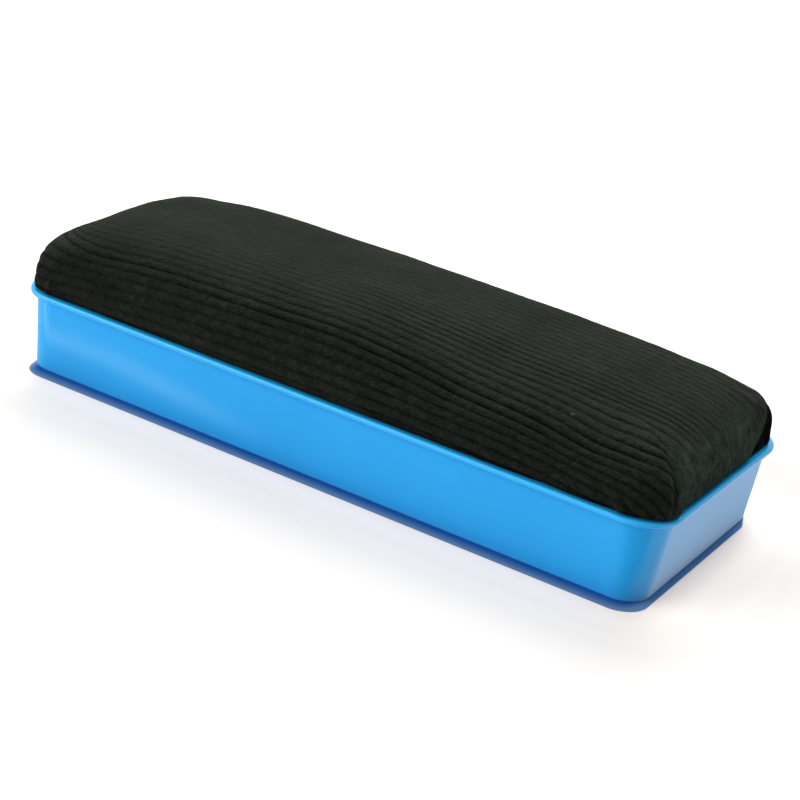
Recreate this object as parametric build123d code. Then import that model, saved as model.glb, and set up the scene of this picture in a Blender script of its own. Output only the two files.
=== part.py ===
from build123d import *
import os

# Chalkboard eraser: a thin moulded tray holding a corduroy-covered foam pad.
#
# Frame: origin at the centre of the tray's underside, +X along the length,
# +Y across the width, +Z from the tray's underside towards the wiping face.
# All sizes in millimetres.

# Tray
LIP_HALF_X = 72.5
LIP_HALF_Y = 30.35
LIP_R = 9.0             # plan corner radius
LIP_T = 1.2
LIP_EDGE_R = 0.5        # rounding of the lip's outer edges
TRAY_H = 16.8           # underside to lip top
WALL_T = 1.1
FLOOR_T = 1.3
WALL_TOP_INSET = 1.35   # wall's inset from the lip's outer edge, at the top
WALL_FOOT_INSET = 2.75  # the same at the foot; the difference is the draft
WALL_TOP_R = 7.7        # plan corner radii of the wall
WALL_FOOT_R = 5.4
FOOT_EDGE_R = 0.4       # rounding between wall and underside
CAVITY_OVER = 0.2       # cavity cutter's rise above the lip
CAVITY_FLARE = 0.02     # extra half size at the cutter's top
RIM_W = 4.5             # resting rim round the underside
RECESS_D = 0.35         # panel inside that rim
RECESS_R = 3.0
GATE_R = 1.6            # moulding gate mark in the middle of the panel
GATE_H = 0.25
GATE_ROOT = 0.2         # depth the gate mark runs into the floor

# Cover, foam and board
CLOTH_T = 0.95          # corduroy, ground cloth and pile
GAP = 0.03              # clearance between stacked pieces
PLUG_CLEAR = 0.22       # pad to tray wall
PLUG_MIN_R = 1.2        # smallest plan corner radii of plug and crown
CROWN_MIN_R = 1.0
PLUG_OVERLAP = 0.4      # plug's rise into the crown
HEM_Z = 2.1             # underside of the folded hem
HEM_TOP = HEM_Z + CLOTH_T
HEM_W_X = 13.0          # hem width on the two ends
HEM_W_Y = 11.5          # hem width on the two long sides
WINDOW_R = 2.0          # corner radius of the opening inside the hem
WINDOW_OVER = 0.5       # window cutter's reach past each face of the hem
BOARD_Z = HEM_TOP + GAP
BOARD_T = 2.4
BOARD_R = 4.2
FOAM_INSET = CLOTH_T + GAP + 0.02

# Crown of the pad: height, half length, half width, plan corner radius.
# The first row is the ledge where the pad swells out over the lip.
CROWN = [
    (16.92, 71.15, 29.35, 7.9),
    (17.90, 71.85, 29.85, 8.3),
    (19.40, 72.10, 29.95, 8.6),
    (21.30, 71.95, 29.65, 8.9),
    (23.10, 71.50, 29.05, 9.2),
    (25.00, 70.40, 28.10, 9.6),
    (27.00, 68.40, 26.60, 10.0),
    (28.90, 65.00, 24.10, 10.2),
    (30.20, 61.00, 21.10, 9.8),
    (31.10, 55.80, 17.40, 8.8),
    (31.70, 48.50, 13.00, 7.0),
    (32.00, 38.00, 8.00, 4.5),
]
LEDGE_Z = CROWN[0][0]
CROWN_TOP = CROWN[-1][0]
# Above TURN_Z an inset turns from sideways to downwards; by the crown's top
# its sideways share has dropped by these fractions.
TURN_Z = 25.0
TURN_DROP_X = 0.35
TURN_DROP_Y = 0.2

# Hot-melt beads between tray floor and board
GLUE_L = 96.0
GLUE_W = 5.0
GLUE_Y = (-8.0, 0.0, 8.0)
GLUE_GAP = 0.01         # clearance below and above a bead

# Staples
STAPLE_CROWN = 9.6
STAPLE_LEG = 2.9
WIRE_W = 0.7
WIRE_T = 0.42
STAPLE_Z = HEM_Z - GAP - WIRE_T
STAPLE_X = (-48.0, -16.0, 16.0, 48.0)   # along each long side
STAPLE_INSET = 6.0      # staple line's inset from the board edge
SLOT_CLEAR = 0.04       # clearance round a leg in its slot


def section(half_x, half_y, r, z):
    """Rounded rectangle face at height z."""
    return Plane.XY.offset(z) * RectangleRounded(2 * half_x, 2 * half_y, r)


def slab(half_x, half_y, r, z, height):
    """Upright rounded block standing on height z."""
    return Plane.XY.offset(z) * extrude(RectangleRounded(2 * half_x, 2 * half_y, r), height)


def wall_plan(z):
    """Outer half sizes and corner radius of the tray wall at height z."""
    t = z / TRAY_H
    inset = WALL_FOOT_INSET + (WALL_TOP_INSET - WALL_FOOT_INSET) * t
    r = WALL_FOOT_R + (WALL_TOP_R - WALL_FOOT_R) * t
    return LIP_HALF_X - inset, LIP_HALF_Y - inset, r


def plug_plan(z, inset):
    """Half sizes and corner radius of the pad's plug inside the tray wall."""
    half_x, half_y, r = wall_plan(z)
    offset = WALL_T + PLUG_CLEAR + inset
    return half_x - offset, half_y - offset, max(r - WALL_T - inset, PLUG_MIN_R)


def make_tray():
    foot_x, foot_y, foot_r = wall_plan(0.0)
    top_x, top_y, top_r = wall_plan(TRAY_H)
    shell = loft([section(foot_x, foot_y, foot_r, 0.0),
                  section(top_x, top_y, top_r, TRAY_H)], ruled=True)
    shell = fillet(shell.edges().group_by(Axis.Z)[0], FOOT_EDGE_R)

    lip = slab(LIP_HALF_X, LIP_HALF_Y, LIP_R, TRAY_H - LIP_T, LIP_T)
    levels = lip.edges().group_by(Axis.Z)
    lip = fillet(levels[0] + levels[-1], LIP_EDGE_R)

    floor_x, floor_y, floor_r = wall_plan(FLOOR_T)
    top_inset = WALL_T - CAVITY_FLARE
    cavity = loft([
        section(floor_x - WALL_T, floor_y - WALL_T, floor_r - WALL_T, FLOOR_T),
        section(top_x - top_inset, top_y - top_inset, top_r - WALL_T, TRAY_H + CAVITY_OVER),
    ], ruled=True)
    recess = slab(foot_x - RIM_W, foot_y - RIM_W, RECESS_R, 0.0, RECESS_D)
    gate = Plane.XY.offset(RECESS_D - GATE_H) * extrude(Circle(GATE_R), GATE_H + GATE_ROOT)
    return (shell + lip) - cavity - recess + gate


def make_pad(inset, z_low):
    """Plug in the tray plus the crown above it, moved inwards by inset."""
    plug = loft([section(*plug_plan(z_low, inset), z_low),
                 section(*plug_plan(TRAY_H, inset), LEDGE_Z + inset + PLUG_OVERLAP)],
                ruled=True)
    sections = []
    for i, (z, half_x, half_y, r) in enumerate(CROWN):
        turn = max(0.0, (z - TURN_Z) / (CROWN_TOP - TURN_Z))
        # The ledge faces down, so its inset moves it up.
        inset_z = z + inset if i == 0 else z - inset * turn
        sections.append(section(half_x - inset * (1 - TURN_DROP_X * turn),
                                half_y - inset * (1 - TURN_DROP_Y * turn),
                                max(r - inset, CROWN_MIN_R), inset_z))
    return plug + loft(sections, ruled=True)


def make_cover():
    """Cloth shell, open underneath inside the hem."""
    half_x, half_y, _ = plug_plan(HEM_Z, 0.0)
    window = slab(half_x - HEM_W_X, half_y - HEM_W_Y, WINDOW_R,
                  HEM_Z - WINDOW_OVER, CLOTH_T + 2 * WINDOW_OVER)
    return make_pad(0.0, HEM_Z) - make_pad(CLOTH_T, HEM_TOP) - window


def make_glue_bead(y):
    height = BOARD_Z - FLOOR_T - 2 * GLUE_GAP
    return Pos(0, y, FLOOR_T + GLUE_GAP) * extrude(SlotOverall(GLUE_L, GLUE_W), height)


def make_staple(clear=0.0):
    """Staple with its crown along X and legs up; clear widens the legs."""
    body = Pos(0, 0, STAPLE_Z + WIRE_T / 2) * Box(STAPLE_CROWN, WIRE_W, WIRE_T)
    leg = Box(WIRE_T + 2 * clear, WIRE_W + 2 * clear, STAPLE_LEG + 2 * clear)
    for side in (-1, 1):
        leg_x = side * (STAPLE_CROWN - WIRE_T) / 2
        body = body + Pos(leg_x, 0, STAPLE_Z + STAPLE_LEG / 2) * leg
    return body


tray = make_tray()
cover = make_cover()
board_x, board_y, _ = plug_plan(BOARD_Z, CLOTH_T + GAP)
board = slab(board_x, board_y, BOARD_R, BOARD_Z, BOARD_T)
foam = make_pad(FOAM_INSET, BOARD_Z + BOARD_T + GAP)
glue = [make_glue_bead(y) for y in GLUE_Y]

# Staples along the two long sides, then one across the middle of each end
places = [Pos(x, side * (board_y - STAPLE_INSET), 0) for x in STAPLE_X for side in (-1, 1)]
places += [Pos(side * (board_x - STAPLE_INSET), 0, 0) * Rot(0, 0, 90) for side in (-1, 1)]
staples = [place * make_staple() for place in places]
for place in places:
    slot = place * make_staple(SLOT_CLEAR)
    cover = cover - slot
    board = board - slot

os.makedirs("parts", exist_ok=True)
parts = {
    "tray": tray,
    "corduroy_cover": cover,
    "foam_core": foam,
    "backing_board": board,
    "glue_beads": Compound(children=glue),
    "staples": Compound(children=staples),
}
for name, shape in parts.items():
    export_step(shape, os.path.join("parts", name + ".step"))
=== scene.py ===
"""A padded block: a corduroy cushion over foam, set in a moulded blue plastic tray.

The block is centred on the origin and stands on z = 0. Its length runs along X and its
width along Y. Front is -Y, rear +Y, left -X and right +X; the camera stands at the front
right. Pad sizes are in millimetres; stage sizes and shader positions are in metres.
"""
import bpy
import bmesh
import math
import numpy as np
from mathutils import Matrix, Vector


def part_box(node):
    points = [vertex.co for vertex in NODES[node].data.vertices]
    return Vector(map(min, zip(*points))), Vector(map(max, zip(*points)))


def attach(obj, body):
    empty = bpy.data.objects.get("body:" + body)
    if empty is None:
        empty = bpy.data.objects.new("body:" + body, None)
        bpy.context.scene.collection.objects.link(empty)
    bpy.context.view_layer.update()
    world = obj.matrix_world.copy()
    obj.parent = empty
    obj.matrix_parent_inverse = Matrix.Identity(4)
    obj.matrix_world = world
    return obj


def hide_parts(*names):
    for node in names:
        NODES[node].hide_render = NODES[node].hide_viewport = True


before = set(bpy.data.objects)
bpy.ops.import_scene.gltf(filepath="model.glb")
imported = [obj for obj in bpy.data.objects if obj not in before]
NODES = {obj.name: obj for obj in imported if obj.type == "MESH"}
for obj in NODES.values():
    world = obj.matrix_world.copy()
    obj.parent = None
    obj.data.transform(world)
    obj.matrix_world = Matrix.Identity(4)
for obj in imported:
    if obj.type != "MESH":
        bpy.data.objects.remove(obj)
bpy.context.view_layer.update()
MM = 0.001
TRAY_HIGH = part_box("tray")[1]
RIM_Z = TRAY_HIGH.z / MM
BOARD_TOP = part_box("backing_board")[1].z / MM

# ------------------------------------------------------------------ pad dimensions
# Level curves of the wrapped pad, from the crown's ridge over the shoulder to just
# inside the tray: height, half length, half width, plan corner radius.
LEVELS = np.array([
    (31.60, 32.0, 0.0, 0.0),
    (31.56, 42.0, 8.0, 4.0),
    (31.38, 50.0, 13.0, 6.5),
    (30.95, 56.8, 17.4, 8.6),
    (30.15, 61.6, 21.0, 9.8),
    (28.90, 65.4, 24.0, 10.2),
    (27.00, 68.6, 26.6, 10.0),
    (25.00, 70.5, 28.1, 9.6),
    (23.10, 71.5, 29.05, 9.2),
    (21.30, 71.95, 29.65, 8.9),
    (19.40, 72.1, 29.95, 8.6),
    (17.90, 71.85, 29.88, 8.3),
    (17.08, 71.2, 29.35, 7.8),
    (16.75, 69.95, 27.62, 7.1),
    (15.00, 69.62, 27.32, 6.6),
])
ABOVE_RIM_ROW, RIM_ROW = 11, 12
# The same columns, on down the tray wall and in under the board
INSIDE = np.array([
    LEVELS[-1],
    (9.00, 69.12, 26.85, 5.5),
    (4.00, 68.66, 26.42, 4.8),
    (2.60, 68.25, 26.0, 4.4),
    (2.14, 67.3, 25.1, 3.9),
    (2.12, 62.0, 20.0, 3.2),
    (2.12, 56.0, 15.0, 2.4),
])
INSIDE_RINGS = 17
# Uneven foam: x, rise of the crown, rise per millimetre towards the rear
LEAN = np.array([
    (-72.0, 0.30, 0.000), (-68.0, 0.30, 0.000), (-64.0, 0.00, -0.010),
    (-60.0, -0.38, -0.012), (-56.0, -0.48, -0.006), (-50.0, -0.16, 0.000),
    (-43.0, 0.25, 0.000), (-36.0, 0.38, 0.000), (-28.0, 0.36, 0.000),
    (-15.0, 0.48, 0.000), (0.0, 0.60, -0.010), (15.0, 0.08, 0.000),
    (30.0, -0.80, 0.025), (45.0, -1.32, 0.025), (55.0, -1.85, 0.020),
    (62.0, -1.44, 0.004), (68.0, -0.70, -0.002), (72.0, -0.30, 0.000),
])
LEFT_OUT_LOW, LEFT_OUT_HIGH = -0.42, 0.38   # left end moved out, at the rim and shoulder
RIGHT_OUT = -0.04
CLOTH_THICK = 0.92
FOAM_GAP = 0.10

WALE_PITCH = 2.04
WALE_SAMPLES = 8                # grid steps across one wale
LENGTH_STEP = 0.46              # grid step along the wales
COARSE = 4                      # inner face and foam keep every 4th grid point
LEVEL_STEP = 0.05               # spacing of the sampled level curves
PROFILE_SMOOTHING = 1.1

FRONT_RIGHT, FRONT_LEFT, REAR_RIGHT, REAR_LEFT = (1, -1), (-1, -1), (1, 1), (-1, 1)
FOLD_FOOT = 17.0                # height at which a fold's place is given
# Tucked pleats, one to a corner: corner, place round the outline, slant, height,
# depth of the sharp turn, of the groove and of the flap beside it
PLEATS = [
    (FRONT_RIGHT, -2.4, 0.10, 11.5, 1.10, 0.36, 0.24),
    (FRONT_LEFT, 0.8, -0.06, 9.0, 0.30, 0.50, 0.25),
    (REAR_RIGHT, 0.4, 0.05, 8.5, 0.25, 0.50, 0.20),
    (REAR_LEFT, -0.9, 0.08, 10.0, 0.35, 0.55, 0.30),
]
# Soft gathers: corner, place round the outline, slant, width, height, depth
GATHERS = [
    (FRONT_RIGHT, 5.6, 0.75, 0.95, 7.0, 0.42),
    (FRONT_RIGHT, 10.5, 0.9, 1.3, 6.0, 0.22),
    (FRONT_RIGHT, -5.0, -0.5, 1.1, 6.0, 0.22),
    (FRONT_LEFT, -4.2, -0.4, 1.0, 7.5, 0.38),
    (FRONT_LEFT, 5.4, 0.5, 1.1, 7.0, 0.32),
    (FRONT_LEFT, -8.6, -0.5, 1.2, 6.0, 0.28),
    (REAR_RIGHT, 4.6, 0.5, 1.1, 6.5, 0.30),
    (REAR_RIGHT, -5.2, -0.4, 1.2, 7.0, 0.30),
    (REAR_LEFT, 5.0, 0.6, 1.0, 7.0, 0.34),
    (REAR_LEFT, -5.6, -0.6, 1.2, 6.5, 0.26),
]

# ------------------------------------------------------------------ curve and noise helpers


def pchip(knots, values, x):
    """Monotone cubic through the knots."""
    width = np.diff(knots)
    slope = np.diff(values) / width
    tangent = np.zeros(len(knots))
    for i in range(1, len(knots) - 1):
        if slope[i - 1] * slope[i] > 0:
            before, after = 2 * width[i] + width[i - 1], width[i] + 2 * width[i - 1]
            tangent[i] = (before + after) / (before / slope[i - 1] + after / slope[i])
    tangent[0], tangent[-1] = slope[0], slope[-1]
    i = np.clip(np.searchsorted(knots, x) - 1, 0, len(width) - 1)
    t = (x - knots[i]) / width[i]
    return ((1 + 2 * t) * (1 - t) ** 2 * values[i] + t * (1 - t) ** 2 * width[i] * tangent[i]
            + t * t * (3 - 2 * t) * values[i + 1] + t * t * (t - 1) * width[i] * tangent[i + 1])


def gaussian(sigma, reach):
    kernel = np.exp(-0.5 * (np.arange(-reach, reach + 1) / sigma) ** 2)
    return kernel / kernel.sum()


def smooth_line(values, sigma):
    reach = round(sigma * 3)
    # reflect about the end points, so that straight ends stay straight
    left = 2 * values[0] - values[1:reach + 1][::-1]
    right = 2 * values[-1] - values[-reach - 1:-1][::-1]
    return np.convolve(np.r_[left, values, right], gaussian(sigma, reach), mode="valid")


def blur(grid, sigma):
    """Gaussian blur along both axes."""
    reach = math.ceil(3 * sigma)
    kernel = gaussian(sigma, reach)
    for axis in (0, 1):
        padding = [(reach, reach) if i == axis else (0, 0) for i in (0, 1)]
        padded = np.pad(grid, padding, mode="edge")
        grid = np.apply_along_axis(lambda row: np.convolve(row, kernel, mode="valid"), axis, padded)
    return grid


def resample(rows, kept, count):
    """Catmull-Rom from sparse rows, numbered by kept, to rows 0..count-1."""
    x = np.arange(count)
    i = np.clip(np.searchsorted(kept, x, side="right") - 1, 0, len(kept) - 2)
    t = ((x - kept[i]) / (kept[i + 1] - kept[i]))[:, None]
    p0, p1, p2, p3 = (rows[np.clip(i + o, 0, len(kept) - 1)] for o in (-1, 0, 1, 2))
    return 0.5 * (2 * p1 + (p2 - p0) * t + (2 * p0 - 5 * p1 + 4 * p2 - p3) * t ** 2
                  + (3 * p1 - p0 - 3 * p2 + p3) * t ** 3)


def step(value, start, full):
    """Eases from 0 at start to 1 at full; start may be the higher of the two."""
    t = np.clip((value - start) / (full - start), 0, 1)
    return t * t * (3 - 2 * t)


def bell(value, width):
    return np.exp(-(value / width) ** 2)


def noise(x, y, cell, seed):
    """Seeded value noise about -1..1, one value per lattice cell."""
    size = 256
    lattice = np.random.RandomState(seed).uniform(-1, 1, (size, size))
    fx, fy = x / cell[0] + 57.3, y / cell[1] + 41.7
    ix, iy = np.floor(fx).astype(int), np.floor(fy).astype(int)
    tx, ty = fx - ix, fy - iy
    tx = tx * tx * tx * (tx * (tx * 6 - 15) + 10)
    ty = ty * ty * ty * (ty * (ty * 6 - 15) + 10)
    low_left, low_right = lattice[ix % size, iy % size], lattice[(ix + 1) % size, iy % size]
    top_left = lattice[ix % size, (iy + 1) % size]
    top_right = lattice[(ix + 1) % size, (iy + 1) % size]
    return ((low_left * (1 - tx) + low_right * tx) * (1 - ty)
            + (top_left * (1 - tx) + top_right * tx) * ty)


def fractal(x, y, size, seed, octaves, stretch):
    total, gain = 0, 1.0
    for k in range(octaves):
        cell = (size * stretch / 2 ** k, size / 2 ** k)
        total = total + gain * noise(x, y, cell, seed + k)
        gain *= 0.5
    return total / 1.75


def run_length(offsets, heights):
    """Distance travelled along a section, from its first point."""
    return np.r_[0, np.cumsum(np.hypot(np.diff(offsets), np.diff(heights)))]


# ------------------------------------------------------------------ mesh helpers


class MeshParts:
    """Gathers points (in millimetres) and faces of one mesh."""

    def __init__(self):
        self.blocks, self.faces, self.count = [], [], 0

    def add(self, points):
        """Adds points and returns their indices."""
        points = points.reshape(-1, 3)
        self.blocks.append(points)
        self.count += len(points)
        return np.arange(self.count - len(points), self.count)

    def band(self, upper, lower):
        """Joins two closed loops of indices with quads."""
        quads = np.stack([np.roll(upper, -1), upper, lower, np.roll(lower, -1)], -1)
        self.faces += quads.tolist()

    def to_object(self, name):
        mesh = bpy.data.meshes.new(name)
        mesh.from_pydata((np.vstack(self.blocks) * MM).tolist(), [], self.faces)
        mesh.validate()
        made = bpy.data.objects.new(name, mesh)
        bpy.context.scene.collection.objects.link(made)
        return made


def grid_faces(index):
    corners = [index[:-1, :-1], index[1:, :-1], index[1:, 1:], index[:-1, 1:]]
    return np.stack(corners, -1).reshape(-1, 4)


def border(index):
    """Boundary of a grid of indices, in order."""
    return np.r_[index[:-1, 0], index[-1, :-1], index[1:, -1][::-1], index[0, 1:][::-1]]


def grid_normals(points):
    normal = np.cross(np.gradient(points, axis=0), np.gradient(points, axis=1))
    return normal / np.maximum(np.linalg.norm(normal, axis=-1, keepdims=True), 1e-12)


def shade_smooth(mesh):
    mesh.polygons.foreach_set("use_smooth", np.ones(len(mesh.polygons), bool))


def face_outwards(mesh, roughen=None):
    bm = bmesh.new()
    bm.from_mesh(mesh)
    bmesh.ops.recalc_face_normals(bm, faces=bm.faces)
    if roughen:
        roughen(bm)
    bm.to_mesh(mesh)
    bm.free()


# ------------------------------------------------------------------ sampled pad profile
# A level is a distance down the level curves from the ridge. The profile holds the pad's
# size at finely spaced levels.
level_knots = run_length(LEVELS[:, 2], LEVELS[:, 0])
PROFILE = np.arange(0, level_knots[-1], LEVEL_STEP)
sharp_columns = [pchip(level_knots, column, PROFILE) for column in LEVELS.T]
# the tuck at the rim stays sharp
keep_sharp = step(PROFILE, level_knots[ABOVE_RIM_ROW] - 2.5, level_knots[RIM_ROW])
HEIGHT, HALF_LENGTH, HALF_WIDTH, RADIUS = (
    column * keep_sharp + smooth_line(column, PROFILE_SMOOTHING / LEVEL_STEP) * (1 - keep_sharp)
    for column in sharp_columns)
# smoothing widens the ridge: bring it back to a line
HALF_WIDTH = np.maximum(HALF_WIDTH - HALF_WIDTH[0] * (1 - step(PROFILE, 0, 6)), 0)
RADIUS = np.clip(RADIUS, 0, np.maximum(HALF_WIDTH - 0.001, 0))
# distance over the pad from its middle, down a long side and down an end
SIDE_RUN = run_length(HALF_WIDTH, HEIGHT) + HALF_WIDTH[0]
END_RUN = run_length(HALF_LENGTH, HEIGHT) + HALF_LENGTH[0]
LAST_LEVEL = PROFILE[-1]


def sample(level, column):
    return np.interp(level, PROFILE, column)


def corner_place(along, across, level):
    """Where a sheet point lies against the plan corner of its level."""
    radius = sample(level, RADIUS)
    corner_x = sample(level, HALF_LENGTH) - radius
    corner_y = sample(level, HALF_WIDTH) - radius
    end_run, side_run = sample(level, END_RUN), sample(level, SIDE_RUN)
    past_x = np.maximum(along - corner_x, 0) / np.maximum(end_run - corner_x, 1e-6)
    past_y = np.maximum(across - corner_y, 0) / np.maximum(side_run - corner_y, 1e-6)
    in_corner = (along > corner_x) & (across > corner_y)
    return corner_x, corner_y, radius, past_x, past_y, in_corner


def level_of(along, across):
    """The level of a sheet point, by bisection."""
    low, high = np.zeros_like(along), np.full_like(along, LAST_LEVEL)
    for _ in range(30):
        level = (low + high) / 2
        _, _, _, past_x, past_y, in_corner = corner_place(along, across, level)
        side, end = across - sample(level, SIDE_RUN), along - sample(level, END_RUN)
        beyond = np.where(in_corner, np.hypot(past_x, past_y) - 1, np.maximum(side, end))
        low = np.where(beyond > 0, level, low)
        high = np.where(beyond > 0, high, level)
    return (low + high) / 2


def wrap(sheet_u, sheet_v):
    """Lays sheet points on the smooth pad; also gives their level and corner angle."""
    along, across = np.abs(sheet_u), np.abs(sheet_v)
    level = level_of(along, across)
    corner_x, corner_y, radius, past_x, past_y, in_corner = corner_place(along, across, level)
    past_end, past_side = along > corner_x, across > corner_y
    angle = np.arctan2(past_y, past_x)
    x = np.where(past_end, sample(level, HALF_LENGTH), along)
    y = np.where(past_side, sample(level, HALF_WIDTH), across)
    x = np.where(in_corner, corner_x + radius * np.cos(angle), x)
    y = np.where(in_corner, corner_y + radius * np.sin(angle), y)
    angle = np.where(in_corner, angle, np.where(past_end, 0.0, np.pi / 2))
    place = [x * np.sign(sheet_u + 1e-12), y * np.sign(sheet_v + 1e-12), sample(level, HEIGHT)]
    return np.stack(place, -1), level, angle


# ------------------------------------------------------------------ sheet grid
EDGE_U, EDGE_V = float(sample(LAST_LEVEL, END_RUN)), float(sample(LAST_LEVEL, SIDE_RUN))
EDGE_RADIUS = float(sample(LAST_LEVEL, RADIUS))
CORNER_U = float(sample(LAST_LEVEL, HALF_LENGTH)) - EDGE_RADIUS
CORNER_V = float(sample(LAST_LEVEL, HALF_WIDTH)) - EDGE_RADIUS
count_u = int(round(2 * EDGE_U / LENGTH_STEP / COARSE) * COARSE) + 1
count_v = int(round(2 * EDGE_V / (WALE_PITCH / WALE_SAMPLES) / COARSE) * COARSE) + 1
grid_u, grid_v = np.meshgrid(np.linspace(-EDGE_U, EDGE_U, count_u),
                             np.linspace(-EDGE_V, EDGE_V, count_v), indexing="ij")


def round_corners(u, v):
    """Bends the rectangular grid's corners in, so that its edge is one level curve."""
    past_u = (np.abs(u) - CORNER_U) / (EDGE_U - CORNER_U)
    past_v = (np.abs(v) - CORNER_V) / (EDGE_V - CORNER_V)
    inside = (past_u > 0) & (past_v > 0)
    past_u, past_v = np.where(inside, past_u, 1), np.where(inside, past_v, 1)
    big = np.maximum(past_u, past_v)
    turn = np.pi / 4 * (np.minimum(past_u, past_v) / big)
    angle = np.where(past_u >= past_v, turn, np.pi / 2 - turn)
    round_u = (CORNER_U + big * np.cos(angle) * (EDGE_U - CORNER_U)) * np.sign(u)
    round_v = (CORNER_V + big * np.sin(angle) * (EDGE_V - CORNER_V)) * np.sign(v)
    return np.where(inside, round_u, u), np.where(inside, round_v, v)


def uneven(place):
    """Offsets of the crown (z) and of the ends (x): packed foam is never a perfect dome."""
    x, y, z = place[..., 0], place[..., 1], place[..., 2]
    on_crown = step(z, 20.0, 28.5)
    tilt = pchip(LEAN[:, 0], LEAN[:, 2], x) * y
    rise = (pchip(LEAN[:, 0], LEAN[:, 1], x) + tilt) * on_crown
    # the left end is fuller in the middle of its upper edge
    rise = rise + 1.05 * bell(y - 4.0, 12.5) * bell(x + 67.0, 5.5) * on_crown
    shift = RIGHT_OUT * step(x, 62.0, 72.0) * step(z, 17.0, 19.0)
    # the left end stands up straighter: further in at the rim, further out at the shoulder
    left_out = LEFT_OUT_LOW + (LEFT_OUT_HIGH - LEFT_OUT_LOW) * step(z, 19.5, 25.5)
    left_out = left_out * (1 - step(z, 27.5, 30.5))
    shift = shift - left_out * step(x, -60.0, -71.0) * step(z, 17.0, 18.6)
    return np.stack([shift, np.zeros_like(rise), rise], -1)


sheet_u, sheet_v = round_corners(grid_u, grid_v)
form, level, corner_angle = wrap(sheet_u, sheet_v)
normals = grid_normals(form)
form = form + uneven(form)
pad_x, pad_y, pad_z = form[..., 0], form[..., 1], form[..., 2]
sign_u, sign_v = np.sign(sheet_u), np.sign(sheet_v)
half_length, half_width = sample(level, HALF_LENGTH), sample(level, HALF_WIDTH)
radius = sample(level, RADIUS)
is_side = corner_angle > np.pi / 2 - 1e-6
is_end = corner_angle < 1e-6

# broad and middling unevenness of the stuffing
soft = (0.24 * fractal(sheet_u, sheet_v, size=34.0, seed=11, octaves=3, stretch=1.4)
        + 0.10 * fractal(sheet_u, sheet_v, size=11.0, seed=23, octaves=2, stretch=1.6))
soft = soft * step(pad_z, RIM_Z - 0.4, RIM_Z + 5.0)

# ------------------------------------------------------------------ folds at the corners
above_rim = step(pad_z, 16.9, 18.0)
# distance round the outline from the corner's diagonal, positive along the long side
around = np.where(
    is_side, radius * np.pi / 4 + (half_length - radius - np.abs(pad_x)),
    np.where(is_end, -(radius * np.pi / 4 + (half_width - radius - np.abs(pad_y))),
             radius * (corner_angle - np.pi / 4)))


def fold_frame(corner, place, slant):
    """Mask of one corner, and the distance round it from a slanting fold line."""
    here = (corner[0] * pad_x > 0) & (corner[1] * pad_y > 0)
    return here, around - (place + slant * (pad_z - FOLD_FOOT))


def pleat(corner, place, slant, height, sharp, groove, flap):
    """One tucked fold up a corner: a sharp turn, a narrow groove and a flap beside it."""
    here, off = fold_frame(corner, place, slant)
    fade = step(pad_z, FOLD_FOOT + height, FOLD_FOOT + 0.35 * height) * above_rim
    depth = sharp * bell(off, 3.6) * fade
    depth = depth - groove * bell(off + 0.55, 0.50) * fade
    depth = depth + flap * bell(off - 0.75, 0.85) * fade
    return np.where(here, depth, 0.0)


def gather(corner, place, slant, width, height, depth):
    """A soft ridge with a hollow beside it, which dies out up the pad."""
    here, off = fold_frame(corner, place, slant)
    fade = step(pad_z, FOLD_FOOT + height, 17.5) * above_rim
    shape = bell(off, width) - 0.55 * bell(off + 1.7 * width, 0.7 * width)
    return np.where(here, depth * shape * fade, 0.0)


folds = sum([pleat(*row) for row in PLEATS] + [gather(*row) for row in GATHERS])
# rear right corner: it bulges high up, and a slanting flap below that is tucked in
rear_right = (pad_x > 0) & (pad_y > 0)
flap_line = around - (-15.2 + 1.6 * (pad_z - 19.0))
flap_in = (step(flap_line, -0.25, 0.55) * step(around, 5.0, 0.0) * step(pad_z, 26.0, 24.0)
           * above_rim * rear_right)
bulge = 0.30 * bell(pad_z - 23.6, 2.2) * bell(around + 3.0, 5.0) * rear_right
folds = folds - 0.62 * flap_in + bulge
# the tuck at the rim draws the cloth in unevenly all the way round
tuck = (0.16 * noise(around, sign_u * 3 + sign_v * 7, cell=(5.5, 1.0), seed=71)
        * step(pad_z, 21.5, 17.4) * above_rim)

# ------------------------------------------------------------------ wales
# Rounded ribs with narrow grooves run along the sheet. At a corner the side's ribs run
# on round it, as far as the pleat; beyond it they run down the end.
on_left = pad_x < 0
turn = np.where(on_left, step(corner_angle, 0.02, 0.42), step(corner_angle, 0.40, 0.58))
turn = turn * step(pad_z, 30.0, 27.5)
turn_share = turn * np.where(on_left, 1.0, 0.40)
side_v = np.abs(sheet_v) * (1 - turn_share) + sample(level, SIDE_RUN) * turn_share
# side ribs dip towards the ends, and all ribs wander a little
dip = 3.0 * (np.abs(pad_x) / 70.0) ** 2.2 + 1.7 * step(pad_x, 38.0, 72.0)
dip = dip * step(side_v, 11.0, 24.0)
drift = (0.22 * fractal(sheet_u, sheet_v, size=30.0, seed=31, octaves=2, stretch=2.4)
         + 0.05 * noise(sheet_u, sheet_v, cell=(5.0, 3.0), seed=37))
phase = (sign_v * (side_v - dip) + drift) / WALE_PITCH
rib_number = np.floor(phase)
ridge = np.sqrt(np.clip(1 - np.abs(2 * (phase - rib_number) - 1) ** 2.2, 0, 1))
# ribs differ from one another and along their length
rib_gain = (1 + 0.30 * noise(rib_number * 7.3, sheet_u * 0 + 1.5, cell=(1.0, 1.0), seed=41)
            + 0.20 * noise(rib_number * 3.1, sheet_u, cell=(1.0, 9.0), seed=43)
            + 0.20 * fractal(sheet_u, sheet_v, size=18.0, seed=47, octaves=2, stretch=2.0))
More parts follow.
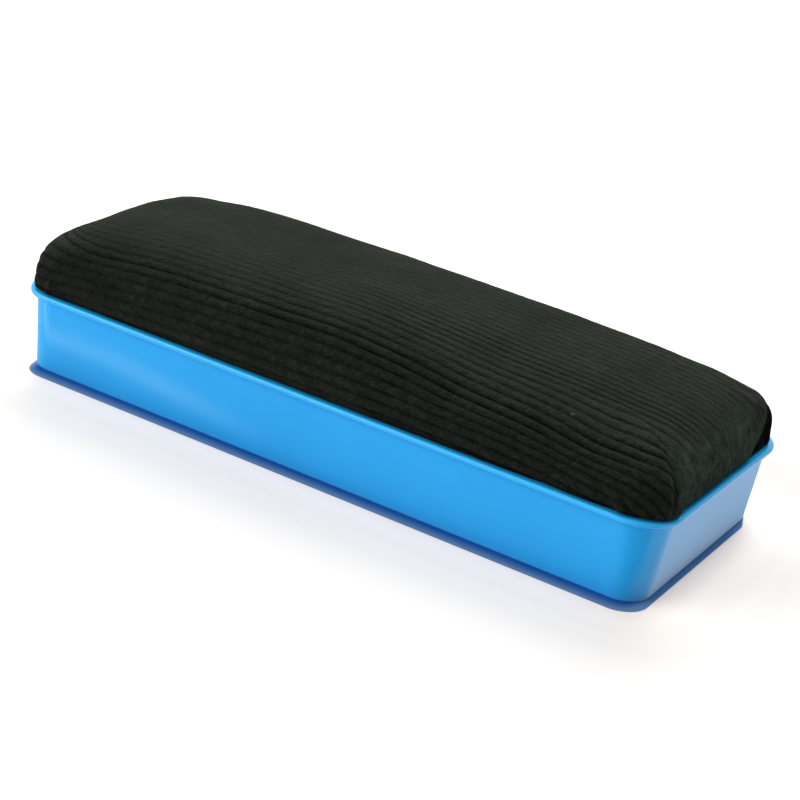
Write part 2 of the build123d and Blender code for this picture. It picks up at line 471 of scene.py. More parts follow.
# masks: long sides, ends, and the line along the shoulder
side_on = np.maximum(is_side, turn)
side = step(half_width, 26.2, 28.6) * side_on
end_face = np.where(pad_x > 0, step(half_length, 65.0, 70.5), step(half_length, 67.5, 71.0))
end_face = end_face * (1 - side_on)
shoulder_line = bell(half_width - 25.5, 1.5) * side_on
# the nap is brushed nearly flat at the rear of the crown and stands up towards the front
rear_nap = 0.08 + 0.32 * step(sheet_u, -35.0, 40.0)
to_front = step(sheet_v + 9.0 * (1 - step(sheet_u, -45.0, 25.0)), 2.0, -16.0)
brushed = (rear_nap + (1 - rear_nap) * to_front) * (0.55 + 0.80 * step(sheet_u, -50.0, 45.0))
brushed = np.where(is_side & (sheet_v > 0) & (half_width > 26), 0.75, brushed)
rib_depth = (0.27 * (1 - 0.10 * side) * (1 - 0.84 * end_face) * (1 + 1.15 * shoulder_line)
             * np.clip(rib_gain, 0.35, 1.7) * brushed)
# ribs that turn a corner are deeper on the left and shallower on the right
rib_depth = rib_depth * (1 + turn * (1 - is_side) * side * np.where(on_left, 1.7, -0.40))
visible = step(pad_z, RIM_Z - 1.2, RIM_Z + 0.5)
rib = -rib_depth * (1 - ridge)
nap = (0.050 * fractal(sheet_u, sheet_v, size=0.8, seed=61, octaves=2, stretch=1.5)
       + 0.016 * fractal(sheet_u, sheet_v, size=2.4, seed=67, octaves=2, stretch=1.3))
nap = nap * (0.45 + 0.55 * ridge)

# ------------------------------------------------------------------ cloth pass
# The flat sheet is laid on the pad's form, held at the rim, blown up a little and left to
# settle, so that the fullness at the corners buckles as cloth does.
SIM_SCALE = 0.01                # simulated ten times larger than life
SIM_FRAMES = 20
SIM_GRID = (75, 45)
CLOTH = {
    "quality": 7, "mass": 0.03,
    "tension_stiffness": 40.0, "compression_stiffness": 40.0,
    "shear_stiffness": 3.0, "bending_stiffness": 0.03,
    "tension_damping": 5.0, "compression_damping": 5.0, "air_damping": 2.0,
    "use_pressure": True, "uniform_pressure_force": 1.5,
    "vertex_group_mass": "hold", "pin_stiffness": 0.5,
}


def settle(shape, flat, hold, limit):
    """Simulates one sheet; returns each point's move along the normal, softly limited."""
    index = np.arange(hold.size).reshape(hold.shape)
    mesh = bpy.data.meshes.new("sheet_sim")
    mesh.from_pydata((shape.reshape(-1, 3) * SIM_SCALE).tolist(), [], grid_faces(index).tolist())
    sheet = bpy.data.objects.new("sheet_sim", mesh)
    scene = bpy.context.scene
    scene.collection.objects.link(sheet)
    sheet.shape_key_add(name="Basis")
    flat_key = sheet.shape_key_add(name="flat")
    flat_points = (flat.reshape(-1, 3) * SIM_SCALE).astype(np.float32)
    flat_key.data.foreach_set("co", flat_points.ravel())
    flat_key.value = 0.0
    group = sheet.vertex_groups.new(name="hold")
    for i, weight in enumerate(hold.reshape(-1)):
        group.add([i], float(weight), "REPLACE")
    modifier = sheet.modifiers.new("cloth", "CLOTH")
    for name, value in CLOTH.items():
        setattr(modifier.settings, name, value)
    modifier.settings.effector_weights.gravity = 0.0
    modifier.settings.rest_shape_key = flat_key
    modifier.collision_settings.use_collision = False
    modifier.point_cache.frame_start, modifier.point_cache.frame_end = 1, SIM_FRAMES
    for number in range(1, SIM_FRAMES + 1):
        scene.frame_set(number)
    result = sheet.evaluated_get(bpy.context.evaluated_depsgraph_get())
    points = np.empty(hold.size * 3, np.float32)
    result.data.vertices.foreach_get("co", points)
    move = points.reshape(shape.shape).astype(float) / SIM_SCALE - shape
    scene.frame_set(1)
    bpy.data.objects.remove(sheet, do_unlink=True)
    outwards = np.nan_to_num((move * grid_normals(shape)).sum(-1))
    return limit * np.tanh(outwards / limit)


settled = np.zeros_like(pad_z)
rows_u = np.round(np.linspace(0, count_u - 1, SIM_GRID[0])).astype(int)
rows_v = np.round(np.linspace(0, count_v - 1, SIM_GRID[1])).astype(int)
sparse = np.ix_(rows_u, rows_v)
sim_form = (form + normals * (soft + folds)[..., None])[sparse]
flat_sheet = np.stack([sheet_u, sheet_v, 0 * sheet_u + 16.0], -1)[sparse]
hold = np.where(sim_form[..., 2] < RIM_Z + 0.5, 1.0, 0.2)
moved = settle(sim_form, flat_sheet, hold, limit=3.0)
# the overall rise belongs to the foam's form; the cloth's own puckers are kept
moved = 1.35 * (blur(moved, 0.75) - blur(moved, 4.2))
moved = 0.85 * np.tanh(moved / 0.85)
settled = resample(resample(moved, rows_u, count_u).T, rows_v, count_v).T
settled = settled * step(pad_z, RIM_Z + 0.2, RIM_Z + 2.6)
settled = settled * (1 - 0.78 * step(pad_z, 25.5, 29.5))
relief = soft + folds + tuck + (rib + nap) * (0.25 + 0.75 * visible) + settled
broad_relief = soft + folds + settled

# ------------------------------------------------------------------ rings inside the tray
sheet_index = np.arange(count_u * count_v).reshape(count_u, count_v)
edge = border(sheet_index)
coarse_edge = np.arange(0, len(edge), COARSE)
edge_place = form.reshape(-1, 3)[edge]
edge_angle = corner_angle.reshape(-1)[edge]
past_corner_v = np.abs(grid_v.reshape(-1)[edge]) > CORNER_V
edge_corner = (np.abs(grid_u.reshape(-1)[edge]) > CORNER_U) & past_corner_v
edge_end = ~past_corner_v


def ring(z, half_length, half_width, radius):
    """The sheet's edge loop moved to another level curve inside the tray."""
    corner_x, corner_y = half_length - radius, half_width - radius
    x, y = np.abs(edge_place[:, 0]), np.abs(edge_place[:, 1])
    x = np.where(edge_end, half_length, x * corner_x / CORNER_U)
    y = np.where(edge_end, y * corner_y / CORNER_V, half_width)
    x = np.where(edge_corner, corner_x + radius * np.cos(edge_angle), x)
    y = np.where(edge_corner, corner_y + radius * np.sin(edge_angle), y)
    signs = np.sign(edge_place)
    return np.stack([x * signs[:, 0], y * signs[:, 1], np.full(len(x), z)], -1)


inside_knots = run_length(INSIDE[:, 2], INSIDE[:, 0])
ring_knots = np.linspace(0, inside_knots[-1], INSIDE_RINGS + 1)[1:]
ring_levels = np.stack([np.interp(ring_knots, inside_knots, column) for column in INSIDE.T], -1)
rings = [ring(*row) for row in ring_levels]


def inner_ring(k):
    """Ring k, coarser and one cloth thickness in."""
    here = rings[k]
    before = rings[k - 1] if k else edge_place
    after = rings[k + 1] if k + 1 < len(rings) else here + (here - before)
    inwards = np.cross(after - before, np.roll(here, -1, 0) - np.roll(here, 1, 0))
    inwards /= np.maximum(np.linalg.norm(inwards, axis=1, keepdims=True), 1e-9)
    to_middle = -here * np.array([1, 1, 0]) + np.array([0, 0, 12.0 - ring_levels[k][0]]) * 2
    inwards *= np.sign((inwards * to_middle).sum(1, keepdims=True))
    return (here + inwards * CLOTH_THICK)[coarse_edge]


def sheet_beneath(depth):
    """The coarse sheet, without its ribs, this far in from the pad's form."""
    return (form + normals * (broad_relief - depth)[..., None])[::COARSE, ::COARSE]


# ------------------------------------------------------------------ cover
def make_cover():
    parts = MeshParts()
    parts.add(form + normals * relief[..., None])
    parts.faces += grid_faces(sheet_index).tolist()
    outer = edge
    for points in rings:
        lower = parts.add(points)
        parts.band(outer, lower)
        outer = lower
    # inner face: the same sheet, smooth
    points = sheet_beneath(CLOTH_THICK)
    index = parts.add(points).reshape(points.shape[:2])
    parts.faces += grid_faces(index)[:, ::-1].tolist()
    inner = border(index)
    for k in range(len(rings)):
        lower = parts.add(inner_ring(k))
        parts.band(lower, inner)
        inner = lower
    # close the hem: two inner points to every four outer edges
    for j in range(len(inner)):
        start, end = inner[j], inner[(j + 1) % len(inner)]
        hem = [outer[(j * COARSE + m) % len(outer)] for m in range(COARSE + 1)]
        parts.faces += [(start, hem[0], hem[1]), (start, hem[1], hem[2]), (start, hem[2], end),
                        (end, hem[2], hem[3]), (end, hem[3], hem[4])]
    made = parts.to_object("corduroy_pad_cover")
    shade_smooth(made.data)
    face_outwards(made.data)
    return made


def add_attribute(mesh, name, outer_values, rest):
    """A value per point: a grid of them for the outer face, one for all the rest."""
    values = np.full(len(mesh.vertices), rest, np.float32)
    values[:outer_values.size] = outer_values.reshape(-1)
    mesh.attributes.new(name, "FLOAT", "POINT").data.foreach_set("value", values)


def ridge_shade():
    """Rib height as the shader sees it, darkened where the cloth lies in shade."""
    contrast = (np.clip(1 - 0.86 * end_face, 0, 1) * (0.12 + 0.88 * np.clip(brushed, 0, 1))
                * (1 + 0.35 * shoulder_line))
    crown = 1 - side_on * step(half_width, 22.0, 26.0)
    # painted shade: darker just above the rim where the cloth tucks in, in the tucked flap at the
    # rear right, towards the left of the sides and of the crown, in the shoulder grooves, and
    # inside the tray
    shade = (1 - 0.75 * step(pad_z, 18.6, 17.2))                        # just above the rim
    shade = shade * (1 - 0.86 * flap_in)
    shade = shade * (1 - 0.28 * step(pad_x, -30.0, -64.0) * side)       # left of the sides
    shade = shade * (1 - 0.12 * step(pad_x, 25.0, -45.0) * crown)       # left of the crown
    shade = shade * (1 - 0.55 * shoulder_line * (1 - ridge))            # shoulder grooves
    return (np.clip(0.80 + (ridge - 0.80) * contrast, 0, 1) * np.clip(shade, 0.02, 1)
            * (0.3 + 0.7 * visible) + (1 - visible) * 0.2)


cover = make_cover()
# the "ridge" attribute carries rib height together with painted shade
for name, values, rest in (
        ("ridge", ridge_shade(), 0.3),
        ("sheet_u", sheet_u / 100.0, 0.0),
        ("sheet_v", sheet_v / 100.0, 0.0),
        ("side", side, 0.0),
        ("endface", end_face, 0.0)):
    add_attribute(cover.data, name, values, rest)

# ------------------------------------------------------------------ foam block
FOAM_BASE = BOARD_TOP + 0.06
FOAM_WALL = (12.5, 10.5, 8.5, BOARD_TOP + 0.9, FOAM_BASE)   # heights of its rings
FOAM_BASE_SCALES = (0.93, 0.8, 0.62, 0.42, 0.2, 0.04)       # underside, towards the middle
FOAM_CHAMFER = 0.7
FOAM_SKIN = 0.07


def roughen_foam(bm):
    """Open cells leave a slightly rough skin."""
    random = np.random.RandomState(5)
    for vert in bm.verts:
        vert.co -= vert.normal * float(random.uniform(0.0, FOAM_SKIN)) * MM


def make_foam():
    """Fills the cover from the board up: its top follows the cloth's inner face."""
    parts = MeshParts()
    points = sheet_beneath(CLOTH_THICK + FOAM_GAP)
    index = parts.add(points).reshape(points.shape[:2])
    parts.faces += grid_faces(index).tolist()
    loop = border(index)
    wall = INSIDE[:3]
    for z in FOAM_WALL:
        length, width, radius = (float(np.interp(-z, -wall[:, 0], wall[:, i])) for i in (1, 2, 3))
        inset = CLOTH_THICK + FOAM_GAP + (FOAM_CHAMFER if z < BOARD_TOP + 0.5 else 0.0)
        points = ring(z, length - inset, width - inset, max(radius - inset, 1.5))[coarse_edge]
        lower = parts.add(points)
        parts.band(loop, lower)
        loop = lower
    for scale in FOAM_BASE_SCALES:
        lower = parts.add(points * np.array([scale, scale, 1.0]))
        parts.band(loop, lower)
        loop = lower
    middle = int(parts.add(np.array([0.0, 0.0, FOAM_BASE]))[0])
    parts.faces += [(int(loop[(j + 1) % len(loop)]), int(loop[j]), middle)
                    for j in range(len(loop))]
    made = parts.to_object("foam_block")
    face_outwards(made.data, roughen_foam)
    shade_smooth(made.data)
    return made


foam = make_foam()

# ------------------------------------------------------------------ glue beads
BEAD_PITCH = 8.0
BEAD_HALF_WIDTH = 2.05
BEAD_STATIONS, BEAD_SIDES = 140, 18


def make_beads():
    """Squashed hot-melt beads: wandering edges, flat above and below."""
    low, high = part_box("glue_beads")
    bottom, top = low.z / MM, high.z / MM
    length = (high.x - low.x) / MM
    x = np.linspace(-length / 2 + 0.3, length / 2 - 0.3, BEAD_STATIONS)
    tip = np.sqrt(np.clip(1 - (np.abs(x) / (length / 2)) ** 14, 0, 1))
    angle = np.linspace(0, 2 * np.pi, BEAD_SIDES, endpoint=False)
    across, upright = np.cos(angle), np.sin(angle)
    across = np.sign(across) * np.abs(across) ** 0.8
    upright = np.sign(upright) * np.abs(upright) ** 0.45
    z = ((bottom + top) / 2
         + (top - bottom) / 2 * 0.985 * upright[None] * np.clip(tip, 0.4, 1)[:, None])
    parts = MeshParts()
    for i in range(3):
        swelling = 0.30 * noise(x, x * 0 + i, cell=(7.0, 1.0), seed=90 + i)
        half = (BEAD_HALF_WIDTH + swelling) * np.clip(tip, 0.25, 1)
        middle = BEAD_PITCH * (i - 1) + 0.22 * noise(x, x * 0 + i, cell=(13.0, 1.0), seed=80 + i)
        y = middle[:, None] + half[:, None] * across[None]
        points = np.stack([np.repeat(x[:, None], BEAD_SIDES, 1), y, z], -1)
        index = parts.add(points).reshape(BEAD_STATIONS, BEAD_SIDES)
        beside = np.roll(index, -1, axis=1)
        quads = np.stack([index[:-1], beside[:-1], beside[1:], index[1:]], -1)
        parts.faces += quads.reshape(-1, 4).tolist()
        parts.faces += [index[0][::-1].tolist(), index[-1].tolist()]
    made = parts.to_object("hot_melt_beads")
    shade_smooth(made.data)
    face_outwards(made.data)
    return made


beads = make_beads()

# ------------------------------------------------------------------ small CAD pieces
for name, width, segments in (("staples", 0.00012, 3), ("backing_board", 0.00025, 2)):
    bevel = NODES[name].modifiers.new("edge", "BEVEL")
    bevel.width = width
    bevel.segments = segments
    bevel.limit_method = "ANGLE"
    bevel.angle_limit = math.radians(50)
    bevel.use_clamp_overlap = True

# ------------------------------------------------------------------ shader helpers


class NodeTree:
    """Short ways to add nodes to a material or world. Any value may also be a socket."""

    def __init__(self, owner):
        owner.use_nodes = True
        self.owner, self.tree = owner, owner.node_tree

    def find(self, kind):
        return next(node for node in self.tree.nodes if node.type == kind)

    def feed(self, socket, value):
        if isinstance(value, bpy.types.NodeSocket):
            self.tree.links.new(value, socket)
        else:
            socket.default_value = value

    def add(self, kind, **settings):
        node = self.tree.nodes.new("ShaderNode" + kind)
        for name, value in settings.items():
            if name in node.inputs:
                self.feed(node.inputs[name], value)
            else:
                setattr(node, name, value)
        return node

    def surface(self, settings):
        """Fills in the Principled shader."""
        shader = self.find("BSDF_PRINCIPLED")
        for name, value in settings.items():
            self.feed(shader.inputs[name], value)
        return shader.outputs[0]

    def object_place(self):
        return self.add("TexCoord").outputs["Object"]

    def attribute(self, name):
        return self.add("Attribute", attribute_name=name).outputs["Fac"]

    def noise(self, place, **settings):
        return self.add("TexNoise", Vector=place, **settings).outputs["Fac"]

    def math(self, operation, first, second):
        node = self.add("Math", operation=operation)
        self.feed(node.inputs[0], first)
        self.feed(node.inputs[1], second)
        return node.outputs[0]

    def times(self, first, *others):
        for other in others:
            first = self.math("MULTIPLY", first, other)
        return first

    def vector(self, operation, first, second=None):
        node = self.add("VectorMath", operation=operation)
        self.feed(node.inputs[0], first)
        if second is not None:
            self.feed(node.inputs[1], second)
        return node.outputs[0]

    def remap(self, value, source, to, easing="LINEAR"):
        node = self.add("MapRange", interpolation_type=easing, Value=value)
        names = ("From Min", "From Max", "To Min", "To Max")
        for name, number in zip(names, (*source, *to)):
            node.inputs[name].default_value = number
        return node.outputs["Result"]

    def ease(self, value, source, to=(0.0, 1.0)):
        return self.remap(value, source, to, "SMOOTHSTEP")

    def mix(self, factor, first, second):
        node = self.add("Mix", data_type="RGBA")
        for i, value in ((0, factor), (6, first), (7, second)):
            self.feed(node.inputs[i], value)
        return node.outputs[2]

    def ramp(self, factor, stops):
        """Colour ramp; stops are (position, colour)."""
        node = self.add("ValToRGB", Fac=factor)
        elements = node.color_ramp.elements
        for element, (position, colour) in ((elements[0], stops[0]), (elements[1], stops[-1])):
            element.position, element.color = position, (*colour, 1)
        for position, colour in stops[1:-1]:
            elements.new(position).color = (*colour, 1)
        return node.outputs["Color"]

    def bump(self, height, strength, distance, **under):
        node = self.add("Bump", Strength=strength, Distance=distance, Height=height, **under)
        return node.outputs["Normal"]


# ------------------------------------------------------------------ materials
def corduroy_material():
    tree = NodeTree(bpy.data.materials.new("corduroy_cloth"))
    place = tree.object_place()
    # nap: short cut pile, streaked a little along the wale
    streaked = tree.add("Mapping", Scale=(0.7, 1.0, 1.0), Vector=place).outputs["Vector"]
    fine = tree.noise(streaked, Scale=3400.0, Detail=3.0, Roughness=0.7)
    tuft = tree.noise(streaked, Scale=1150.0, Detail=2.0, Roughness=0.6)
    blotch = tree.noise(streaked, Scale=480.0, Detail=3.0, Roughness=0.65)
    patch = tree.noise(streaked, Scale=75.0, Detail=4.0, Roughness=0.6)

    def ruffled(low, high):
        """The pile on the ends is ruffled."""
        blotches = tree.remap(blotch, (0.32, 0.68), to=(low, high))
        return tree.math("ADD", 1.0, tree.times(tree.attribute("endface"), blotches))

    # painted shade: dark grooves to paler ridges, darker still where the attribute carries shade,
    # varied in random blotches
    ridge_and_painted_shade = tree.attribute("ridge")
    painted_shade_and_blotches = tree.math("ADD", ridge_and_painted_shade, tree.remap(blotch, (0.3, 0.7), to=(-0.12, 0.12)))
    base = tree.ramp(painted_shade_and_blotches, [(0.0, (0.0010, 0.0012, 0.0010)), (0.40, (0.0034, 0.0042, 0.0032)),
                            (0.75, (0.0054, 0.0068, 0.0050)), (1.0, (0.0069, 0.0086, 0.0064))])
    mottle = tree.times(
        tree.remap(tuft, (0.3, 0.72), to=(0.62, 1.45)),
        tree.remap(blotch, (0.32, 0.70), to=(0.86, 1.16)),
        tree.remap(patch, (0.3, 0.7), to=(0.84, 1.18)),
        tree.remap(fine, (0.3, 0.72), to=(0.38, 1.85)),
        ruffled(-0.55, 0.62))
    mottled = tree.add("VectorMath", operation="SCALE", Vector=base, Scale=mottle).outputs[0]
    # painted light by face: the sides are given a browner colour than the top, and the ends a
    # brighter, bluer-green one, standing in for how each face catches the light
    face_light_tint = tree.mix(tree.attribute("side"), (0.95, 1.02, 0.93, 1), (1.12, 1.00, 1.05, 1))
    face_light_tint = tree.mix(tree.attribute("endface"), face_light_tint, (1.02, 1.34, 1.46, 1))
    face_lit = tree.vector("MULTIPLY", mottled, face_light_tint)
    # faint grey lint caught in the pile, in a few cells only
    specks = tree.add("TexVoronoi", Scale=62.0, Vector=place)
    chance = tree.add("SeparateColor", Color=specks.outputs["Color"]).outputs["Red"]
    lint = tree.times(tree.remap(specks.outputs["Distance"], (0.030, 0.018), to=(0.0, 1.0)),
                      tree.remap(chance, (0.955, 0.975), to=(0.0, 0.7)))
    # the sheen, and the specular level below, fall with the painted shade in grooves and shaded
    # strips
    sheen = tree.times(tree.remap(patch, (0.3, 0.7), to=(0.10, 0.19)),
                       tree.remap(ridge_and_painted_shade, (0.05, 0.95), to=(0.0, 1.0)),
                       ruffled(-0.35, 0.45))
    pile = tree.math("ADD", tree.times(fine, 0.8), tree.times(tuft, 1.4))
    tree.surface({
        "Base Color": tree.mix(lint, face_lit, (0.045, 0.050, 0.045, 1)),
        "Roughness": 0.95,
        "Specular IOR Level": tree.remap(ridge_and_painted_shade, (0.05, 0.5), to=(0.0, 0.08)),
        "Sheen Weight": sheen,
        "Sheen Roughness": 0.5,
        "Sheen Tint": (0.29, 0.42, 0.27, 1),
        "Normal": tree.bump(pile, strength=0.9, distance=0.00026),
    })
    return tree.owner


def tray_material():
    tree = NodeTree(bpy.data.materials.new("moulded_blue_plastic"))
    place = tree.object_place()
    cloudy = tree.noise(place, Scale=45.0, Detail=3.0, Roughness=0.55)
    blue = tree.ramp(cloudy, [(0.3, (0.0060, 0.355, 0.820)), (0.7, (0.0085, 0.380, 0.870))])
    # painted highlight: the top of the rim is a paler blue than the wall, standing in for the
    # highlight along its rounded edge
    position = tree.add("NewGeometry").outputs["Position"]
    z = tree.add("SeparateXYZ", Vector=position).outputs["Z"]
    painted_lip_highlight = tree.remap(z, ((RIM_Z - 0.95) * MM, (RIM_Z - 0.45) * MM), to=(0.0, 1.0))
    smear = tree.noise(place, Scale=260.0, Detail=4.0, Roughness=0.6)
    peel = tree.noise(place, Scale=130.0, Detail=2.0, Roughness=0.5)
    grain = tree.noise(place, Scale=2600.0, Detail=2.0, Roughness=0.5)
    peel_bump = tree.bump(peel, strength=0.30, distance=0.00005)
    tree.surface({
        "Base Color": tree.mix(painted_lip_highlight, blue, (0.020, 0.455, 0.950, 1.0)),
        "Roughness": tree.remap(smear, (0.0, 1.0), to=(0.17, 0.27)),
        "IOR": 1.46,
        "Normal": tree.bump(grain, strength=0.10, distance=0.000004, Normal=peel_bump),
    })
    return tree.owner


def foam_material():
    tree = NodeTree(bpy.data.materials.new("open_cell_foam"))
    cells = tree.add("TexVoronoi", Scale=900.0, Vector=tree.object_place()).outputs["Distance"]
    tree.surface({
        "Base Color": tree.ramp(cells, [(0.0, (0.36, 0.30, 0.17)), (0.55, (0.78, 0.71, 0.50))]),
        "Roughness": 0.95,
        "Normal": tree.bump(cells, strength=0.8, distance=0.0004),
    })
    return tree.owner


def board_material():
    tree = NodeTree(bpy.data.materials.new("pressed_board"))
    fibre = tree.noise(tree.object_place(), Scale=420.0, Detail=6.0, Roughness=0.7,
                       Distortion=1.2)
    tree.surface({
        "Base Color": tree.ramp(fibre, [(0.3, (0.20, 0.13, 0.07)), (0.55, (0.33, 0.23, 0.13)),
                                        (0.75, (0.45, 0.34, 0.21))]),
        "Roughness": 0.8,
        "Normal": tree.bump(fibre, strength=0.4, distance=0.0001),
    })
    return tree.owner


def glue_material():
    tree = NodeTree(bpy.data.materials.new("hot_melt_glue"))
    cloudy = tree.noise(tree.object_place(), Scale=160.0, Detail=3.0, Roughness=0.5)
    tree.surface({
        "Base Color": tree.ramp(cloudy, [(0.3, (0.62, 0.55, 0.38)), (0.7, (0.80, 0.74, 0.58))]),
        "Roughness": 0.35,
        "Subsurface Weight": 0.3,
        "Subsurface Scale": 0.002,
        "Normal": tree.bump(cloudy, strength=0.5, distance=0.0003),
    })
    return tree.owner


def wire_material():
    tree = NodeTree(bpy.data.materials.new("drawn_steel_wire"))
    scuffs = tree.noise(tree.object_place(), Scale=1500.0, Detail=3.0, Roughness=0.5)
    tree.surface({
        "Roughness": tree.remap(scuffs, (0.0, 1.0), to=(0.22, 0.45)),
        "Base Color": (0.60, 0.59, 0.57, 1),
        "Metallic": 1.0,
    })
    return tree.owner


def assign(target, material):
    target.data.materials.clear()
    target.data.materials.append(material)


assign(cover, corduroy_material())
assign(NODES["tray"], tray_material())
assign(foam, foam_material())
assign(NODES["backing_board"], board_material())
assign(beads, glue_material())
assign(NODES["staples"], wire_material())

for made, replaced, slot in ((cover, "corduroy_cover", "corduroy"),
                             (foam, "foam_core", "foam"),
                             (beads, "glue_beads", "glue")):
    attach(made, "root")
    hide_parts(replaced)

# ------------------------------------------------------------------ floor (metres)
FOOT_INSET = 0.00275            # the tray's foot lies this far inside its rim
FOOT_X, FOOT_Y, FOOT_RADIUS = TRAY_HIGH.x - FOOT_INSET, TRAY_HIGH.y - FOOT_INSET, 0.0054
# painted contact shadow and reflection round the tray's foot: its strength, how far it reaches
# towards the viewer, and the steps it is swept in
CONTACT_SHADE = 0.995                 # strength of the contact band
BAND_SHIFT = (0.00115, -0.00345)                # reach of the band, towards the viewer
BAND_STEPS = 5
# brightness of the floor to glossy rays only, painted reflections on the tray: in front, beyond the
# right end, extra in a strip
MIRROR_FRONT, MIRROR_END, MIRROR_STRIP = 0.60, 1.0, 1.75


def foot_distance(tree, place, shift):
    """Distance outside the tray's rounded foot, with the foot moved by shift."""
    folded = tree.vector("ABSOLUTE", tree.vector("SUBTRACT", place, shift))
    # 10 m upwards, so that height never counts
    core = (FOOT_X - FOOT_RADIUS, FOOT_Y - FOOT_RADIUS, 10.0)
    beyond = tree.vector("MAXIMUM", tree.vector("SUBTRACT", folded, core))
    length = tree.add("VectorMath", operation="LENGTH", Vector=beyond).outputs["Value"]
    return tree.math("SUBTRACT", length, FOOT_RADIUS)


def painted_reflection_brightness(tree, x, y):
    """Painted reflections: brightness of the floor as glossy rays see it, for the tray to mirror.
    """
    beside = tree.times(tree.ease(x, (0.066, 0.076)), tree.ease(y, (-0.036, -0.026)))
    # a painted reflection: a bright strip along the left of the front wall
    middle = tree.remap(x, (-0.055, -0.012), to=(-0.0392, -0.0330))
    off = tree.add("Math", operation="ABSOLUTE")
    tree.feed(off.inputs[0], tree.math("SUBTRACT", y, middle))
    strip = tree.times(tree.ease(off.outputs[0], (0.0006, 0.0044), to=(1.0, 0.0)),
                       tree.ease(x, (-0.008, -0.045)))
    end_gain = tree.times(beside, MIRROR_END - MIRROR_FRONT)
    glow = tree.math("ADD", tree.math("ADD", MIRROR_FRONT, end_gain),
                     tree.times(strip, MIRROR_STRIP))
    # painted reflection: darker off the front right corner
    shady = tree.times(tree.ease(x, (0.064, 0.071), to=(0.0, 0.85)),
                       tree.ease(y, (-0.028, -0.033)))
    return tree.times(glow, tree.math("SUBTRACT", 1.0, shady))


def floor_material():
    """Pale sweep, with painted shadow and reflection round the tray: a dark blue contact band,
    a warmer colour and a dim ring near the foot, a glow that brightens the soft shadow for camera
    rays, and a glow that only glossy rays see, which the tray mirrors."""
    tree = NodeTree(bpy.data.materials.new("studio_floor"))
    place = tree.add("NewGeometry").outputs["Position"]
    distance = foot_distance(tree, place, (0.0, 0.0, 0.0))
    swept = distance
    for k in range(1, BAND_STEPS + 1):
        shift = (BAND_SHIFT[0] * k / BAND_STEPS, BAND_SHIFT[1] * k / BAND_STEPS, 0.0)
        swept = tree.math("MINIMUM", swept, foot_distance(tree, place, shift))
    split = tree.add("SeparateXYZ", Vector=place)
    x, y = split.outputs["X"], split.outputs["Y"]

    # open floor, with painted shade: a warmer colour near the foot, against blue light bounced off
    # the tray, and a faint dim ring round it, a painted soft shadow
    cloudy = tree.noise(place, Scale=9.0, Detail=2.0)
    pale = tree.ramp(cloudy, [(0.3, (0.885, 0.875, 0.865)), (0.7, (0.900, 0.892, 0.884))])
    near = tree.ease(distance, (0.0, 0.070), to=(1.0, 0.0))
    warmed = tree.mix(near, pale, (0.930, 0.875, 0.815, 1))
    painted_shadow_ring = tree.ramp(tree.remap(distance, (0.0, 0.050), to=(0.0, 1.0)),
                     [(0.22, (1.0, 1.0, 1.0)), (0.36, (0.88, 0.885, 0.895)),
                      (0.56, (0.84, 0.85, 0.865)), (0.86, (1.0, 1.0, 1.0))])
    plain = tree.vector("MULTIPLY", warmed, painted_shadow_ring)

    # painted contact shadow and reflection: deep blue at the foot, greyer outwards, with a firm
    # outer edge
    reach = tree.times(tree.ease(swept, (0.0, 0.0003), to=(CONTACT_SHADE, 0.0)),
                       tree.ease(x, (-0.0730, -0.0660), to=(0.35, 1.0)))
    band_width = tree.remap(y, (-0.034, -0.026), to=(0.0040, 0.0021))
    outwards = tree.math("DIVIDE", distance, tree.math("MAXIMUM", 0.0008, band_width))
    shades = tree.ramp(outwards, [(0.0, (0.004, 0.120, 0.420)), (0.25, (0.008, 0.120, 0.400)),
                                  (0.55, (0.065, 0.168, 0.390)), (0.95, (0.175, 0.285, 0.420))])
    # the painted band is paler and greyer off the right end
    shades = tree.mix(tree.ease(x, (0.0675, 0.0705)), shades, (0.135, 0.305, 0.545, 1))
    lit = tree.surface({
        "Base Color": tree.mix(reach, plain, shades),
        "Roughness": tree.remap(cloudy, (0.3, 0.7), to=(0.30, 0.38)),
        "Specular IOR Level": tree.remap(reach, (0.0, 0.5), to=(0.25, 0.0)),
    })

    # painted reflections: a glow that only glossy rays see, for the tray to mirror
    glow = tree.add("Emission", Color=(1.0, 1.0, 1.0, 1), Strength=painted_reflection_brightness(tree, x, y))
    rays = tree.add("LightPath")
    mirrored = tree.times(rays.outputs["Is Glossy Ray"],
                          tree.remap(distance, (0.0, 0.001), to=(0.6, 1.0)))
    mixed = tree.add("MixShader")
    for socket, value in zip(mixed.inputs, (mirrored, lit, glow.outputs[0])):
        tree.feed(socket, value)

    # painted light: a glow that only camera rays see brightens the soft shadow round the foot
    painted_lift_colour = tree.ramp(tree.remap(distance, (0.0038, 0.016), to=(0.0, 1.0)),
                     [(0.0, (0.34, 0.27, 0.22)), (0.25, (0.28, 0.23, 0.19)),
                      (0.60, (0.06, 0.05, 0.04)), (1.0, (0.0, 0.0, 0.0))])
    off_band = tree.math("SUBTRACT", 1.0, tree.math("DIVIDE", reach, CONTACT_SHADE))
    painted_lift_glow = tree.add("Emission", Color=painted_lift_colour,
                      Strength=tree.times(rays.outputs["Is Camera Ray"], off_band))
    both = tree.add("AddShader")
    tree.feed(both.inputs[0], mixed.outputs[0])
    tree.feed(both.inputs[1], painted_lift_glow.outputs[0])
    tree.feed(tree.find("OUTPUT_MATERIAL").inputs["Surface"], both.outputs[0])
    return tree.owner


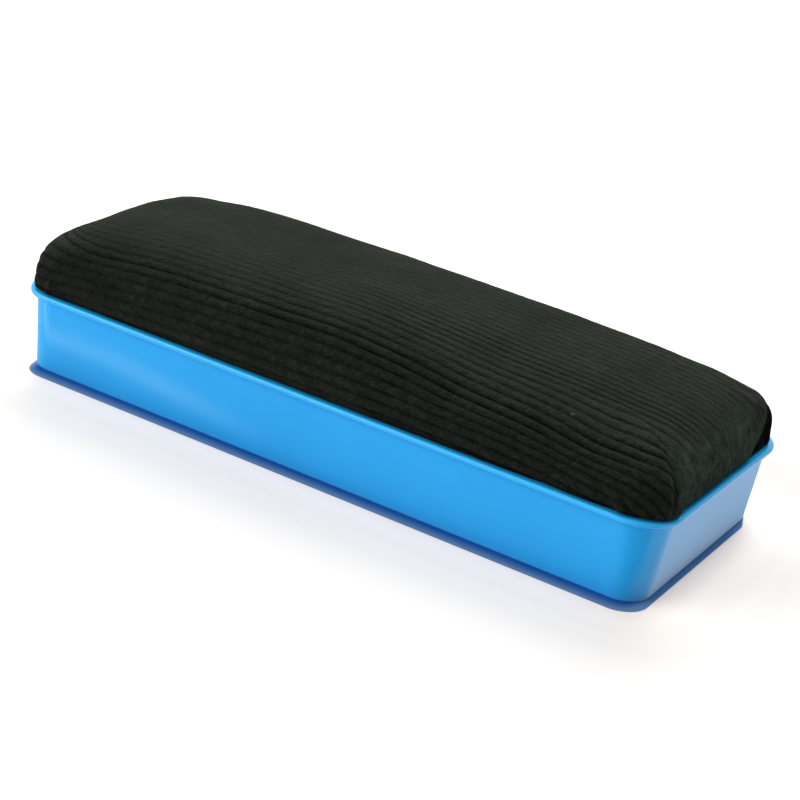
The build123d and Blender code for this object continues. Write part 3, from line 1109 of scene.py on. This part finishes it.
bpy.ops.mesh.primitive_plane_add(size=6.0, location=(0, 0, -0.00002))
floor = bpy.context.object
floor.name = "studio_floor"
assign(floor, floor_material())

# ------------------------------------------------------------------ world, lights, camera


def light_world():
    """The room is brighter on the camera's left (-X) than beyond the right end."""
    world = bpy.data.worlds.new("studio") if not bpy.data.worlds else bpy.data.worlds[0]
    bpy.context.scene.world = world
    tree = NodeTree(world)
    background = tree.find("BACKGROUND")
    background.inputs["Color"].default_value = (1.0, 0.99, 0.975, 1)
    direction = tree.add("TexCoord").outputs["Generated"]
    x = tree.add("SeparateXYZ", Vector=direction).outputs["X"]
    tree.feed(background.inputs["Strength"], tree.ease(x, (-0.3, 0.9), to=(0.72, 0.22)))


def area_light(name, location, size, power):
    """White rectangular light aimed at the block."""
    data = bpy.data.lights.new(name, "AREA")
    data.shape = "RECTANGLE"
    data.size, data.size_y = size
    data.energy = power
    data.color = (1, 1, 1)
    light = bpy.data.objects.new(name, data)
    bpy.context.scene.collection.objects.link(light)
    light.location = location
    light.rotation_mode = "QUATERNION"
    aim = Vector((0, 0, 0.01)) - Vector(location)
    light.rotation_quaternion = aim.to_track_quat("-Z", "Y")


def place_camera():
    data = bpy.data.cameras.new("camera")
    camera = bpy.data.objects.new("camera", data)
    bpy.context.scene.collection.objects.link(camera)
    data.sensor_width = 36.0
    data.lens = 86.305
    data.clip_start, data.clip_end = 0.01, 20.0
    forward = Vector((-0.42883, 0.81999, -0.37911)).normalized()
    right = forward.cross(Vector((-0.31674, 0.25654, 0.91316))).normalized()
    up = right.cross(forward).normalized()
    rotation = Matrix((right, up, -forward)).transposed().to_4x4()
    camera.matrix_world = Matrix.Translation(Vector((0.166724, -0.313398, 0.153809))) @ rotation
    bpy.context.scene.camera = camera


light_world()
area_light("key_soft", location=(-0.20, 0.55, 0.95), size=(0.9, 0.9), power=13.0)
area_light("front_fill", location=(-0.80, -0.85, 0.50), size=(0.9, 0.7), power=8.5)
place_camera()

view = bpy.context.scene.view_settings
view.view_transform = "Standard"
view.look = "None"
view.exposure = 0.0
view.gamma = 1.0
